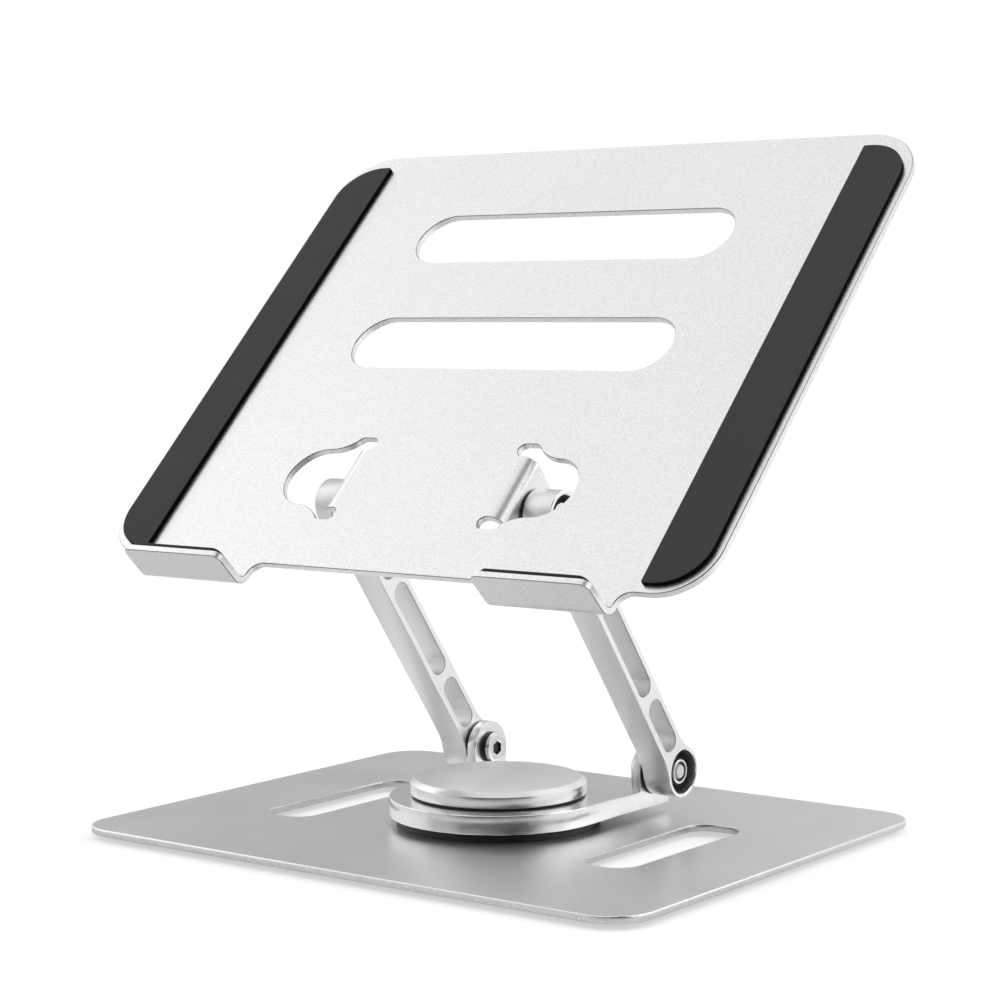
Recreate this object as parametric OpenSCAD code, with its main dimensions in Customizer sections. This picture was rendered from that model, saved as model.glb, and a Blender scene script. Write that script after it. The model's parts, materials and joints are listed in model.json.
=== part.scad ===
// Folding tablet stand: a flat base with a swivel, two milled arms and a tilting tray.
// Frame: origin on the swivel axis at table level, +X to the right, +Y to the back, +Z up.
// Everything is drawn in its working pose, with the arms raised and the tray tilted.

/* [Sheet metal] */
// Thickness of the base sheet and the tray sheet
sheet_t = 2.6; // [2:0.1:3.2]

/* [Base] */
// Width of the base plate, left to right
base_w = 250; // [230:1:290]
// Depth of the base plate, front to back
base_d = 198; // [190:1:230]
// Corner radius of the base plate
base_r = 16; // [8:1:30]
// Length of each lightening slot in the base
base_slot_l = 80.5; // [60:0.5:100]
// Width of each lightening slot in the base
base_slot_w = 21.5; // [14:0.5:26]
// Corner radius of the base slots
base_slot_r = 9; // [4:0.5:10]
// Distance of each base slot's centre line from the swivel axis
base_slot_x = 74; // [70:1:90]
// Thickness of the silicone feet
foot_t = 2; // [1:0.1:4]
// Radius of the silicone feet
foot_r = 9; // [6:0.5:14]
// Distance of the feet from the plate's edges
foot_inset = 20; // [16:1:36]

/* [Swivel] */
// Radius of the bracket's round front
bracket_r = 41.2; // [41:0.2:42]
// Thickness of the bracket's floor
bracket_t = 7.1; // [6:0.1:9]
// Thickness of the black washer under the bracket
lower_washer_t = 3.1; // [2:0.1:4]
// Radius of the black washer under the bracket
lower_washer_r = 38.4; // [30:0.2:40]
// Thickness of the black washer on top of the bracket
upper_washer_t = 0.8; // [0.5:0.1:1.5]
// Radius of the black washer on top of the bracket
upper_washer_r = 32.2; // [25:0.2:33]
// Radius of the round cap
cap_r = 33.2; // [33:0.2:34]
// Height of the round cap
cap_t = 5.9; // [5:0.1:7]
// Width of the cap's top chamfer
cap_chamfer_w = 2.2; // [0.5:0.1:4]
// Height of the cap's top chamfer
cap_chamfer_h = 1.7; // [0.5:0.1:3]
// Radius of the spindle that the bracket turns on
spindle_r = 12; // [11:0.5:14]
// Wall of the plastic bush around the spindle
bush_wall = 3; // [2:0.5:4]
// Radius of the circle that the cap screws stand on
screw_circle_r = 7; // [6:0.5:8]

/* [Hinges] */
// Distance of the lower hinge behind the swivel axis
hinge_y = 44; // [42:0.5:46]
// Height of the lower hinge above the underside of the base plate
hinge_z = 20.2; // [20:0.1:22]
// Radius of the bracket's two lugs
lug_r = 10.3; // [10:0.1:11]
// Thickness of the bracket's two lugs
lug_t = 4.1; // [3:0.1:5]
// Radius of the hinge bolts
bolt_r = 3; // [2.5:0.5:3]
// Radial play of a hinge bolt in its holes
bolt_play = 0.05; // [0.02:0.01:0.1]
// Radius of the bolt heads
head_r = 6.1; // [5.5:0.1:6.5]
// Thickness of the bolt heads
head_t = 1.6; // [1.4:0.1:2.4]
// Width across flats of the bolts' hex sockets
socket_af = 5; // [4:0.5:5]
// Radius of the black washers under the bolt heads
head_washer_r = 6.2; // [6:0.1:7.5]
// Thickness of the black washers under the bolt heads
head_washer_t = 1.6; // [1:0.1:1.6]
// Thickness of the friction washers between an arm and its lug or ear
friction_washer_t = 1; // [0.6:0.1:1.4]
// Thickness of the washers under the lock nuts
nut_washer_t = 1; // [0.6:0.1:1.4]
// Width across flats of the lock nuts
nut_af = 10; // [9:0.5:10]
// Height of the lock nuts' hexagon
nut_hex_h = 4.4; // [4:0.1:5]
// Height of the lock nuts' round collar
nut_collar_h = 1.6; // [1.2:0.1:2]

/* [Arms] */
// Distance between the lower and the upper hinge
arm_l = 127.1; // [120:0.1:132]
// Height of the arm bar, seen from the side
arm_h = 13.2; // [12:0.1:15]
// Thickness of the arm, left to right
arm_t = 12; // [11:0.1:13]
// Elevation of the arms above the horizontal in the working pose
arm_elevation = 53.5; // [45:0.5:60]
// Radius of the arm's lower boss
lower_boss_r = 9.7; // [9.4:0.1:10]
// Radius of the arm's upper boss
upper_boss_r = 9.2; // [9:0.1:9.6]
// Radius of the hollows where an arm's bar runs into its bosses
boss_fillet_r = 22; // [10:1:26]
// Depth of the nut recesses
recess_depth = 8.4; // [7.8:0.1:8.6]
// Wall left around the lower nut recess
lower_recess_wall = 1.4; // [1.2:0.1:1.8]
// Wall left around the upper nut recess
upper_recess_wall = 1.7; // [1.2:0.1:2]
// Width of the lightening slots in the arms
arm_slot_w = 8.2; // [6:0.1:8.6]
// Length of the short slot near each end of an arm
short_slot_l = 24; // [20:0.5:26]
// Length of the middle slot of an arm
long_slot_l = 45.5; // [36:0.5:46]
// Metal left between two slots of an arm
slot_bridge = 4.5; // [3:0.5:6]

/* [Tray] */
// Width of the tray, left to right
tray_w = 271.5; // [260:0.5:290]
// Height of the tray along its slope
tray_h = 218.3; // [200:0.1:230]
// Radius of the tray's upper corners
tray_top_r = 24; // [16:1:28]
// Radius of the tray's lower corners
tray_bottom_r = 20; // [16:1:24]
// Tilt of the tray above the horizontal in the working pose
tray_tilt = 45; // [35:0.5:55]
// Length of the two wide slots in the tray
tray_slot_l = 147; // [120:1:160]
// Width of the two wide slots in the tray
tray_slot_w = 26.3; // [20:0.1:28]
// Distance of the lower wide slot's centre line from the tray's lower edge
low_slot_w = 111; // [100:1:115]
// Distance of the upper wide slot's centre line from the tray's lower edge
high_slot_w = 168; // [160:1:175]

/* [Ears] */
// Distance of the upper hinge from the tray's lower edge
ear_w = 42; // [40:0.5:44]
// Depth of the upper hinge below the tray's top face
ear_depth = 15; // [14.5:0.1:16]
// Radius of the ears' round ends
ear_r = 12.7; // [12:0.1:13]
// Inner bend radius of the ears
ear_bend_r = 2.9; // [2:0.1:3]
// Width of an ear where it is bent out of the tray
ear_root_w = 28.4; // [28:0.1:30]
// Radius of the relief notches beside an ear
notch_r = 2.8; // [2:0.1:3]
// Radius of the round end of the hole that an ear leaves
lobe_r = 13.4; // [13.2:0.1:14]
// Distance of the hole's round end from the middle of the tray
lobe_x = 52.3; // [52:0.1:54]

/* [Lips] */
// Distance of each lip's centre from the middle of the tray
lip_x = 80.8; // [78:0.1:84]
// Width of each lip
lip_w = 48; // [40:0.5:52]
// Height of each lip above the tray's top face
lip_h = 16.3; // [12:0.1:20]
// Flat length of the tab between the tray's edge and its bend
lip_tab = 5.3; // [4:0.1:6]
// Inner bend radius of the lips
lip_bend_r = 3; // [2:0.1:4]
// Radius of the lips' free corners
lip_corner_r = 3.5; // [3:0.5:8]

/* [Soft pads] */
// Thickness of the side pads
pad_t = 1.8; // [1:0.1:2.5]
// Distance of the side pads' inner edge from the middle of the tray
pad_inner_x = 112; // [108:0.1:114]
// Gap between a side pad and the tray's side edge
pad_margin = 2.9; // [2:0.1:4]
// Gap between a side pad and the tray's lower edge
pad_bottom = 3; // [2:0.1:5]
// Gap between a side pad and the tray's top edge
pad_top = 7.8; // [3:0.1:10]
// Radius of the side pads' outer corners
pad_r = 17; // [8:1:18]
// Thickness of the rubber strips inside the lips
strip_t = 1.5; // [0.6:0.1:2]
// Gap between a rubber strip and the top edge of its lip
strip_top_gap = 0.4; // [0.2:0.1:1]
// Gap between a rubber strip and the side edges of its lip
strip_side_gap = 2.2; // [0.2:0.1:4]

/* [Hidden] */
$fn = 96;
cut = 1;                  // how far a cutter runs past the face that it cuts
silver = "silver";
steel = "lightgray";
black = "dimgray";

// Heights of the stack on the swivel axis, from the table up
base_z = foot_t;
deck_z = base_z + sheet_t;
bracket_z = deck_z + lower_washer_t;
bracket_top = bracket_z + bracket_t;
cap_z = bracket_top + upper_washer_t;
cap_top = cap_z + cap_t;
axis_z = base_z + hinge_z;

// Cap screws: countersunk under the base, threaded into the cap
screw_r = 2;
screw_play = 0.2;
screw_head_r = 3.9;
screw_head_h = 1.9;
screw_thread_l = 4;
screw_socket_af = 2.5;
screw_socket_h = 1.3;
screw_count = 3;
screw_gap = 0.3;
spindle_play = 0.05;
washer_play = 0.3;

// Stack along each hinge bolt, as distances from the middle plane
lug_out = bracket_r;
lug_in = lug_out - lug_t;
ear_out = lug_out;
ear_in = ear_out - sheet_t;
arm_in = lug_out + friction_washer_t;
arm_out = arm_in + arm_t;
recess_floor = arm_out - recess_depth;
nut_x = recess_floor + nut_washer_t;
collar_x = nut_x + nut_hex_h;
nut_out = collar_x + nut_collar_h;
bolt_reach = -0.1;
bolt_tip = nut_out + bolt_reach;
bolt_chamfer = 0.5;
head_chamfer = 0.4;
socket_depth = 1.1;
collar_r = 4.75;
insert_r = 3.8;
hole_r = bolt_r + bolt_play;
washer_hole_r = bolt_r + 0.2;
washer_gap = 0.4;

// Arm slots, measured along the arm from the lower hinge
slot_r = arm_slot_w / 2;
slots_l = 2 * short_slot_l + long_slot_l + 2 * slot_bridge;
first_slot_s = (arm_l - slots_l) / 2;

// Upper hinge
top_y = hinge_y - arm_l * cos(arm_elevation);
top_z = axis_z + arm_l * sin(arm_elevation);

// Bends of the tray sheet
ear_bend_out = ear_bend_r + sheet_t;
ear_bend_x = ear_out - ear_bend_out;
lip_face = -lip_tab - lip_bend_r;
notch_dy = ear_root_w / 2 + notch_r;
notch_reach_in = 0.2;
notch_reach_out = 3.5;
notch_in_x = ear_bend_x - notch_reach_in;
notch_out_x = ear_bend_x + notch_reach_out;
notch_blend_r = 16;

// ---- Helpers ----

// The same shape on the right and, mirrored, on the left
module both_sides() {
    children();
    mirror([1, 0, 0]) children();
}

module left_side() {
    mirror([1, 0, 0]) children();
}

// Rectangle with its own radius at the lower and at the upper corners
module round_rect(w, h, r_low, r_high) {
    for (side = [-1, 1]) {
        translate([side * (w / 2 - r_low), r_low]) circle(r_low);
        translate([side * (w / 2 - r_high), h - r_high]) circle(r_high);
    }
    translate([-w / 2, r_low]) square([w, h - r_low - r_high]);
    translate([-w / 2 + r_low, 0]) square([w - 2 * r_low, h / 2]);
    translate([-w / 2 + r_high, h / 2]) square([w - 2 * r_high, h / 2]);
}

// Slot with its long side along X, between the centres of its round ends
module slot(l, r) {
    for (side = [-1, 1]) translate([side * (l / 2 - r), 0]) circle(r);
    square([l - 2 * r, 2 * r], center = true);
}

// Centre of the circle of radius r that touches two circles from outside
function blend_centre(c1, r1, c2, r2, r, side) =
    let (
        line = c2 - c1,
        d = norm(line),
        a = r1 + r,
        b = r2 + r,
        along = (a * a - b * b + d * d) / (2 * d),
        across = side * sqrt(a * a - along * along)
    )
    c1 + line / d * along + [-line[1], line[0]] / d * across;

// Hollow blend of radius r between two round shapes
module blend(c1, r1, c2, r2, r, side) {
    c3 = blend_centre(c1, r1, c2, r2, r, side);
    difference() {
        polygon([c1, c2, c3]);
        translate(c3) circle(r);
    }
}

// Ring or disc around the X axis, from x0 to x1
module x_ring(x0, x1, r, bore) {
    translate([x0, 0, 0]) rotate([0, 90, 0]) difference() {
        cylinder(h = x1 - x0, r = r);
        if (bore > 0) translate([0, 0, -cut]) cylinder(h = x1 - x0 + 2 * cut, r = bore);
    }
}

// Ring or disc around the Z axis, from z0 to z1
module z_ring(z0, z1, r, bore) {
    translate([0, 0, z0]) difference() {
        cylinder(h = z1 - z0, r = r);
        if (bore > 0) translate([0, 0, -cut]) cylinder(h = z1 - z0 + 2 * cut, r = bore);
    }
}

// Shapes drawn around the lower or the upper hinge axis
module at_lower_hinge() {
    translate([0, hinge_y, axis_z]) children();
}

module at_upper_hinge() {
    translate([0, top_y, top_z]) rotate([tray_tilt, 0, 0]) children();
}

// Shapes drawn on the tray: X to the right, Y up the slope, Z out of the top face
module on_tray() {
    at_upper_hinge() translate([0, -ear_w, ear_depth]) children();
}

// ---- Base and swivel ----

module base_plate() {
    color(silver) translate([0, 0, base_z]) difference() {
        linear_extrude(sheet_t) difference() {
            translate([0, -base_d / 2]) round_rect(base_w, base_d, base_r, base_r);
            for (side = [-1, 1]) translate([side * base_slot_x, -base_slot_l / 2])
                round_rect(base_slot_w, base_slot_l, base_slot_r, base_slot_r);
        }
        at_cap_screws() {
            translate([0, 0, -cut]) cylinder(h = sheet_t + 2 * cut, r = screw_r + screw_play);
            countersink(screw_play);
        }
    }
}

// The circle of holes or screws that hold the cap
module at_cap_screws() {
    for (i = [0:screw_count - 1]) rotate([0, 0, 90 + i * 360 / screw_count])
        translate([screw_circle_r, 0, 0]) children();
}

module countersink(play) {
    cylinder(h = screw_head_h, r1 = screw_head_r + play, r2 = screw_r + play);
}

module base_feet() {
    color(black) for (x = [-1, 1], y = [-1, 1])
        translate([x * (base_w / 2 - foot_inset), y * (base_d / 2 - foot_inset), 0])
            cylinder(h = foot_t, r = foot_r);
}

module lower_thrust_washer() {
    color(black) z_ring(deck_z, bracket_z, lower_washer_r, spindle_r + washer_play);
}

module swivel_spindle() {
    color(steel) difference() {
        z_ring(deck_z, cap_z, spindle_r, 0);
        at_cap_screws() translate([0, 0, deck_z - cut])
            cylinder(h = cap_z - deck_z + 2 * cut, r = screw_r + screw_play);
    }
}

module cap_screws() {
    color(steel) at_cap_screws() translate([0, 0, base_z]) difference() {
        union() {
            countersink(0);
            cylinder(h = cap_z - base_z + screw_thread_l, r = screw_r);
        }
        translate([0, 0, -cut])
            cylinder(h = screw_socket_h + cut, r = screw_socket_af / sqrt(3), $fn = 6);
    }
}

module upper_thrust_washer() {
    color(black) z_ring(bracket_top, cap_z, upper_washer_r, spindle_r + washer_play);
}

module swivel_cap() {
    color(silver) difference() {
        union() {
            z_ring(cap_z, cap_top - cap_chamfer_h, cap_r, 0);
            translate([0, 0, cap_top - cap_chamfer_h])
                cylinder(h = cap_chamfer_h, r1 = cap_r, r2 = cap_r - cap_chamfer_w);
        }
        at_cap_screws() translate([0, 0, cap_z - cut])
            cylinder(h = screw_thread_l + cut + screw_gap, r = screw_r);
    }
}

// Floor of the bracket: round in front, square at the back
module bracket_floor() {
    back = hinge_y + lug_r;
    circle(bracket_r);
    translate([-bracket_r, 0]) square([2 * bracket_r, back]);
}

module lug() {
    foot_h = axis_z - bracket_top;
    translate([lug_in, 0, 0]) rotate([90, 0, 90]) linear_extrude(lug_t) {
        circle(lug_r);
        translate([-lug_r, -foot_h - cut]) square([2 * lug_r, foot_h + cut]);
    }
}

module swivel_bracket() {
    color(silver) difference() {
        union() {
            translate([0, 0, bracket_z]) linear_extrude(bracket_t) bracket_floor();
            both_sides() at_lower_hinge() lug();
        }
        z_ring(bracket_z - cut, bracket_top + cut, spindle_r + bush_wall, 0);
        both_sides() at_lower_hinge() x_ring(lug_in - cut, lug_out + cut, hole_r, 0);
    }
}

module swivel_bush() {
    color("white") z_ring(bracket_z, bracket_top, spindle_r + bush_wall, spindle_r + spindle_play);
}

// ---- Hinge hardware, drawn around the X axis on the right-hand side ----

// Low bolt head against x, socket facing the middle, shank towards the nut
module hinge_bolt(x) {
    difference() {
        union() {
            x_ring(x - head_t + head_chamfer, x, head_r, 0);
            translate([x - head_t, 0, 0]) rotate([0, 90, 0])
                cylinder(h = head_chamfer, r1 = head_r - head_chamfer, r2 = head_r);
            x_ring(x, bolt_tip - bolt_chamfer, bolt_r, 0);
            translate([bolt_tip - bolt_chamfer, 0, 0]) rotate([0, 90, 0])
                cylinder(h = bolt_chamfer, r1 = bolt_r, r2 = bolt_r - bolt_chamfer);
        }
        translate([x - head_t - cut, 0, 0]) rotate([0, 90, 0])
            cylinder(h = socket_depth + cut, r = socket_af / sqrt(3), $fn = 6);
    }
}

module lock_nut() {
    difference() {
        union() {
            translate([nut_x, 0, 0]) rotate([0, 90, 0])
                cylinder(h = nut_hex_h, r = nut_af / sqrt(3), $fn = 6);
            x_ring(collar_x, nut_out, collar_r, 0);
        }
        x_ring(nut_x - cut, nut_out + cut, bolt_r, 0);
        x_ring(collar_x, nut_out + cut, insert_r, 0);
    }
}

module nut_insert() {
    x_ring(collar_x, nut_out, insert_r, bolt_r);
}

module lower_hinge_bolts() {
    color(steel) both_sides() at_lower_hinge() hinge_bolt(lug_in - head_washer_t);
}

module lower_head_washers() {
    color(black) both_sides() at_lower_hinge()
        x_ring(lug_in - head_washer_t, lug_in, head_washer_r, washer_hole_r);
}

module lower_friction_washers() {
    color(black) both_sides() at_lower_hinge()
        x_ring(lug_out, arm_in, lower_boss_r, washer_hole_r);
}

module lower_nut_washers() {
    color(black) both_sides() at_lower_hinge()
        x_ring(recess_floor, nut_x, lower_boss_r - lower_recess_wall - washer_gap, washer_hole_r);
}

module lower_lock_nuts() {
    color(steel) both_sides() at_lower_hinge() lock_nut();
}

module lower_nut_inserts() {
    color(black) both_sides() at_lower_hinge() nut_insert();
}

module upper_hinge_bolts() {
    color(steel) both_sides() at_upper_hinge() hinge_bolt(ear_in - head_washer_t);
}

module upper_head_washers() {
    color(black) both_sides() at_upper_hinge()
        x_ring(ear_in - head_washer_t, ear_in, head_washer_r, washer_hole_r);
}

module upper_friction_washers() {
    color(black) both_sides() at_upper_hinge()
        x_ring(ear_out, arm_in, upper_boss_r - washer_gap, washer_hole_r);
}

module upper_nut_washers() {
    color(black) both_sides() at_upper_hinge()
        x_ring(recess_floor, nut_x, upper_boss_r - upper_recess_wall - washer_gap, washer_hole_r);
}

module upper_lock_nuts() {
    color(steel) both_sides() at_upper_hinge() lock_nut();
}

module upper_nut_inserts() {
    color(black) both_sides() at_upper_hinge() nut_insert();
}

// ---- Arms: drawn with X along the arm from the lower hinge, Y towards its back ----

// Hollow blends where the bar meets a boss of radius r at the origin
module boss_blends(r) {
    edge = arm_h / 2 + boss_fillet_r;
    foot_s = sqrt(pow(r + boss_fillet_r, 2) - edge * edge);
    for (side = [0, 1]) mirror([0, side]) difference() {
        polygon([[0, 0], [foot_s, 0], [foot_s, edge]]);
        translate([foot_s, edge]) circle(boss_fillet_r);
    }
}

module arm_outline() {
    circle(lower_boss_r);
    boss_blends(lower_boss_r);
    translate([0, -arm_h / 2]) square([arm_l, arm_h]);
    translate([arm_l, 0]) mirror([1, 0]) {
        circle(upper_boss_r);
        boss_blends(upper_boss_r);
    }
}

module arm_slots() {
    mid_s = first_slot_s + short_slot_l + slot_bridge;
    last_s = mid_s + long_slot_l + slot_bridge;
    translate([first_slot_s + short_slot_l / 2, 0]) slot(short_slot_l, slot_r);
    translate([mid_s + long_slot_l / 2, 0]) slot(long_slot_l, slot_r);
    translate([last_s + short_slot_l / 2, 0]) slot(short_slot_l, slot_r);
}

// Bolt hole and nut recess, cut from the arm's outer side at z = 0
module nut_seat(r) {
    translate([0, 0, -cut]) cylinder(h = arm_t + 2 * cut, r = hole_r);
    translate([0, 0, -cut]) cylinder(h = recess_depth + cut, r = r);
}

module arm() {
    at_lower_hinge() rotate([90 - arm_elevation, 0, 0])
        translate([arm_out, 0, 0]) rotate([0, -90, 0]) difference() {
            linear_extrude(arm_t) difference() {
                arm_outline();
                arm_slots();
            }
            nut_seat(lower_boss_r - lower_recess_wall);
            translate([arm_l, 0, 0]) nut_seat(upper_boss_r - upper_recess_wall);
        }
}

module right_arm() {
    color(silver) arm();
}

module left_arm() {
    color(silver) left_side() arm();
}

// ---- Tray: drawn with its top face at z = 0 and its lower edge at y = 0 ----

// One relief notch of the right-hand hole, blended into the hole's round end
module notch(side) {
    lobe = [lobe_x, ear_w];
    end = [notch_out_x, ear_w + side * notch_dy];
    translate([notch_in_x, end[1]]) circle(notch_r);
    translate(end) circle(notch_r);
    translate([notch_in_x, end[1] - notch_r]) square([notch_out_x - notch_in_x, 2 * notch_r]);
    polygon([[notch_out_x, ear_w], lobe, end]);
    blend(lobe, lobe_r, end, notch_r, notch_blend_r, -side);
}

// Hole that the right-hand ear leaves in the sheet
module ear_hole() {
    translate([lobe_x, ear_w]) circle(lobe_r);
    translate([ear_bend_x, ear_w - notch_dy]) square([notch_out_x - ear_bend_x, 2 * notch_dy]);
    translate([ear_bend_x, ear_w - lobe_r]) square([lobe_x - ear_bend_x, 2 * lobe_r]);
    for (side = [-1, 1]) notch(side);
}

// Flat tab of the right-hand lip, with hollow corners towards the tray's edge
module lip_tab_flat() {
    translate([lip_x - lip_w / 2, -lip_tab]) square([lip_w, lip_tab + cut]);
    for (side = [-1, 1]) translate([lip_x + side * lip_w / 2, 0]) difference() {
        translate([side > 0 ? 0 : -lip_tab, -lip_tab]) square([lip_tab, lip_tab + cut]);
        translate([side * lip_tab, -lip_tab]) circle(lip_tab);
    }
}

// Upright face of the right-hand lip from the front: X to the right, Y up the tray's normal
module lip_outline(side_gap, top_gap) {
    w = lip_w - 2 * side_gap;
    r = lip_corner_r - top_gap;
    top = lip_h - top_gap;
    translate([lip_x - w / 2, lip_bend_r]) square([w, top - lip_bend_r - r]);
    translate([lip_x - w / 2 + r, lip_bend_r]) square([w - 2 * r, top - lip_bend_r]);
    for (side = [-1, 1]) translate([lip_x + side * (w / 2 - r), top - r]) circle(r);
}

// Quarter of a bent sheet around the X axis, from x0 to x1
module x_bend(x0, x1, r_in, from) {
    translate([x0, 0, 0]) rotate([from, 0, 0]) rotate([90, 0, 90])
        rotate_extrude_quarter(r_in, x1 - x0);
}

module rotate_extrude_quarter(r_in, l) {
    rotate_extrude(angle = 90) translate([r_in, 0]) square([sheet_t, l]);
}

module lip() {
    translate([0, -lip_tab, lip_bend_r])
        x_bend(lip_x - lip_w / 2, lip_x + lip_w / 2, lip_bend_r, 180);
    translate([0, lip_face, 0]) rotate([90, 0, 0]) linear_extrude(sheet_t) lip_outline(0, 0);
}

// Ear from the side: X up the tray's slope, Y along its normal, hinge hole at the origin
module ear_outline() {
    root = ear_depth - ear_bend_out;
    circle(ear_r);
    polygon([
        [-ear_root_w / 2, root],
        [-ear_r, 0],
        [ear_r, 0],
        [ear_root_w / 2, root]
    ]);
}

module ear() {
    translate([ear_bend_x, ear_w + ear_root_w / 2, -ear_bend_out]) rotate([90, 0, 0])
        rotate_extrude_quarter(ear_bend_r, ear_root_w);
    difference() {
        translate([ear_in, ear_w, -ear_depth]) rotate([90, 0, 90])
            linear_extrude(sheet_t) ear_outline();
        translate([0, ear_w, -ear_depth]) x_ring(ear_in - cut, ear_out + cut, hole_r, 0);
    }
}

module tray_outline() {
    difference() {
        union() {
            round_rect(tray_w, tray_h, tray_bottom_r, tray_top_r);
            both_sides() lip_tab_flat();
        }
        translate([0, low_slot_w]) slot(tray_slot_l, tray_slot_w / 2);
        translate([0, high_slot_w]) slot(tray_slot_l, tray_slot_w / 2);
        both_sides() ear_hole();
    }
}

module tray_plate() {
    color(silver) on_tray() {
        translate([0, 0, -sheet_t]) linear_extrude(sheet_t) tray_outline();
        both_sides() lip();
        both_sides() ear();
    }
}

// Right-hand side pad: square on the inside, rounded towards the tray's corners
module side_pad() {
    w = tray_w / 2 - pad_margin - pad_inner_x;
    l = tray_h - pad_bottom - pad_top;
    on_tray() translate([pad_inner_x, pad_bottom, 0]) linear_extrude(pad_t) {
        translate([0, pad_r]) square([w, l - 2 * pad_r]);
        intersection() {
            square([w, l]);
            for (y = [pad_r, l - pad_r]) translate([w - pad_r, y]) circle(pad_r);
        }
        square([w - pad_r, l]);
    }
}

module right_pad() {
    color(black) side_pad();
}

module left_pad() {
    color(black) left_side() side_pad();
}

module lip_strip() {
    on_tray() translate([0, lip_face + strip_t, 0]) rotate([90, 0, 0])
        linear_extrude(strip_t) lip_outline(strip_side_gap, strip_top_gap);
}

module right_lip_strip() {
    color(black) lip_strip();
}

module left_lip_strip() {
    color(black) left_side() lip_strip();
}

base_plate();
base_feet();
lower_thrust_washer();
swivel_spindle();
cap_screws();
upper_thrust_washer();
swivel_cap();
swivel_bracket();
swivel_bush();
lower_hinge_bolts();
lower_head_washers();
lower_friction_washers();
lower_nut_washers();
lower_lock_nuts();
lower_nut_inserts();
left_arm();
right_arm();
upper_hinge_bolts();
upper_head_washers();
upper_friction_washers();
upper_nut_washers();
upper_lock_nuts();
upper_nut_inserts();
tray_plate();
left_pad();
right_pad();
left_lip_strip();
right_lip_strip();
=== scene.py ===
import json
import math

import bmesh
import bpy
import numpy as np
from mathutils import Matrix, Vector
from mathutils.geometry import delaunay_2d_cdt


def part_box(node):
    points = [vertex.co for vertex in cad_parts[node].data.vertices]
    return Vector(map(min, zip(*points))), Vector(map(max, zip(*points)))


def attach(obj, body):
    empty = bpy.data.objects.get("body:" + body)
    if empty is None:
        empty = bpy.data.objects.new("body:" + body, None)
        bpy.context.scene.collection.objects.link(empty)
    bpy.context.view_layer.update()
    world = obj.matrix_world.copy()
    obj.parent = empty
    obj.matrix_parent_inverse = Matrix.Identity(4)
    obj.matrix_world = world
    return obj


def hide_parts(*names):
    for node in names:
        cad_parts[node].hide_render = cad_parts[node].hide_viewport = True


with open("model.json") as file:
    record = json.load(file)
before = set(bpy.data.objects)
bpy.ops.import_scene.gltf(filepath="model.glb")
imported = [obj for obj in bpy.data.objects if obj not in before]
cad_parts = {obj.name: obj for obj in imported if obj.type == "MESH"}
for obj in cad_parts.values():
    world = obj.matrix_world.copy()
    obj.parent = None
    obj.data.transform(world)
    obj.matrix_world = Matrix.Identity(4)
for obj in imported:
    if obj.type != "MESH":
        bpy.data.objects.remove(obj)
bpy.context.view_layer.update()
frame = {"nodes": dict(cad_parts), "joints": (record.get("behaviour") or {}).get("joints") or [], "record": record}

# Meshes are drawn in millimetres and scaled to metres when they become objects.
MM = 0.001
JOINTS = {joint["name"]: joint for joint in frame["joints"]}
MOUNTS = {mount["name"]: mount for mount in frame["record"]["mounts"]}
LOWER_HINGE = Vector(JOINTS["arms_fold"]["pos_m"]) / MM
UPPER_HINGE = Vector(JOINTS["tray_tilt"]["pos_m"]) / MM
PAD_NORMAL = Vector(MOUNTS["right_pad_face"]["axis"])
TRAY_TILT = math.atan2(-PAD_NORMAL.y, PAD_NORMAL.z)

# Material indices on every metal piece: flat faces, bevels, turned sides and thin dark edges of painted shade
FACE, EDGE, SIDE, SHADE_LINE = 0, 1, 2, 3
# Edges that turn more than this are shaded sharp
SHARP_ANGLE = math.radians(30)
# Strips of a plate's wall that are taller than this are its side, and the others are its bevels
FLAT_WALL = 1.2
# How far the facets of an arc may stray from the true arc
CHORD_ERROR = 0.012
# A round-ended slot keeps this much straight end, so that its corners share no point
SLOT_STRAIGHT = 0.001
# Faces whose normal rises less than this are upright walls
UPRIGHT = 0.05
# Faces of a pad whose normal rises less than this belong to its walls, which are painted dark as shade
STEEP = 0.6
# Keeps the mitre of a sharp corner from running far out
MITRE_LIMIT = 0.4
# Vertices closer than this merge after a boolean
WELD = 1e-4
# Points closer than this are one point to a triangulation or a cut
SNAP = 1e-5
MIRROR = Matrix.Diagonal((-1, 1, 1, 1))


def box_mm(node):
    low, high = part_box(node)
    return low / MM, high / MM


# ---------- outlines: lists of (x, y) points ----------

def arc(centre, r, start, end):
    """Points from angle start to angle end, in radians, both ends included."""
    step = 2 * math.acos(1 - CHORD_ERROR / max(r, 10 * CHORD_ERROR))
    count = max(2, math.ceil(abs(end - start) / step))
    angles = [start + (end - start) * i / count for i in range(count + 1)]
    return [(centre[0] + r * math.cos(a), centre[1] + r * math.sin(a)) for a in angles]


def rounded(corners):
    """Closed outline through corners (x, y, radius), each one rounded to its radius."""
    points = []
    for i, (x, y, r) in enumerate(corners):
        corner = Vector((x, y))
        before = (Vector(corners[i - 1][:2]) - corner).normalized()
        after = (Vector(corners[(i + 1) % len(corners)][:2]) - corner).normalized()
        if r == 0:
            points.append((x, y))
            continue
        half = before.angle(after) / 2
        centre = corner + (before + after).normalized() * r / math.sin(half)
        reach = r / math.tan(half)
        a = corner + before * reach - centre
        b = corner + after * reach - centre
        start = math.atan2(a.y, a.x)
        turn = math.remainder(math.atan2(b.y, b.x) - start, 2 * math.pi)
        points += arc(centre, r, start, start + turn)
    return points


def round_rect(x0, y0, x1, y1, r):
    return rounded([(x0, y0, r), (x1, y0, r), (x1, y1, r), (x0, y1, r)])


def circle(centre, r):
    return arc(centre, r, 0, 2 * math.pi)[:-1]


def mirrored(outline):
    return [(-x, y) for x, y in reversed(outline)]


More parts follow.
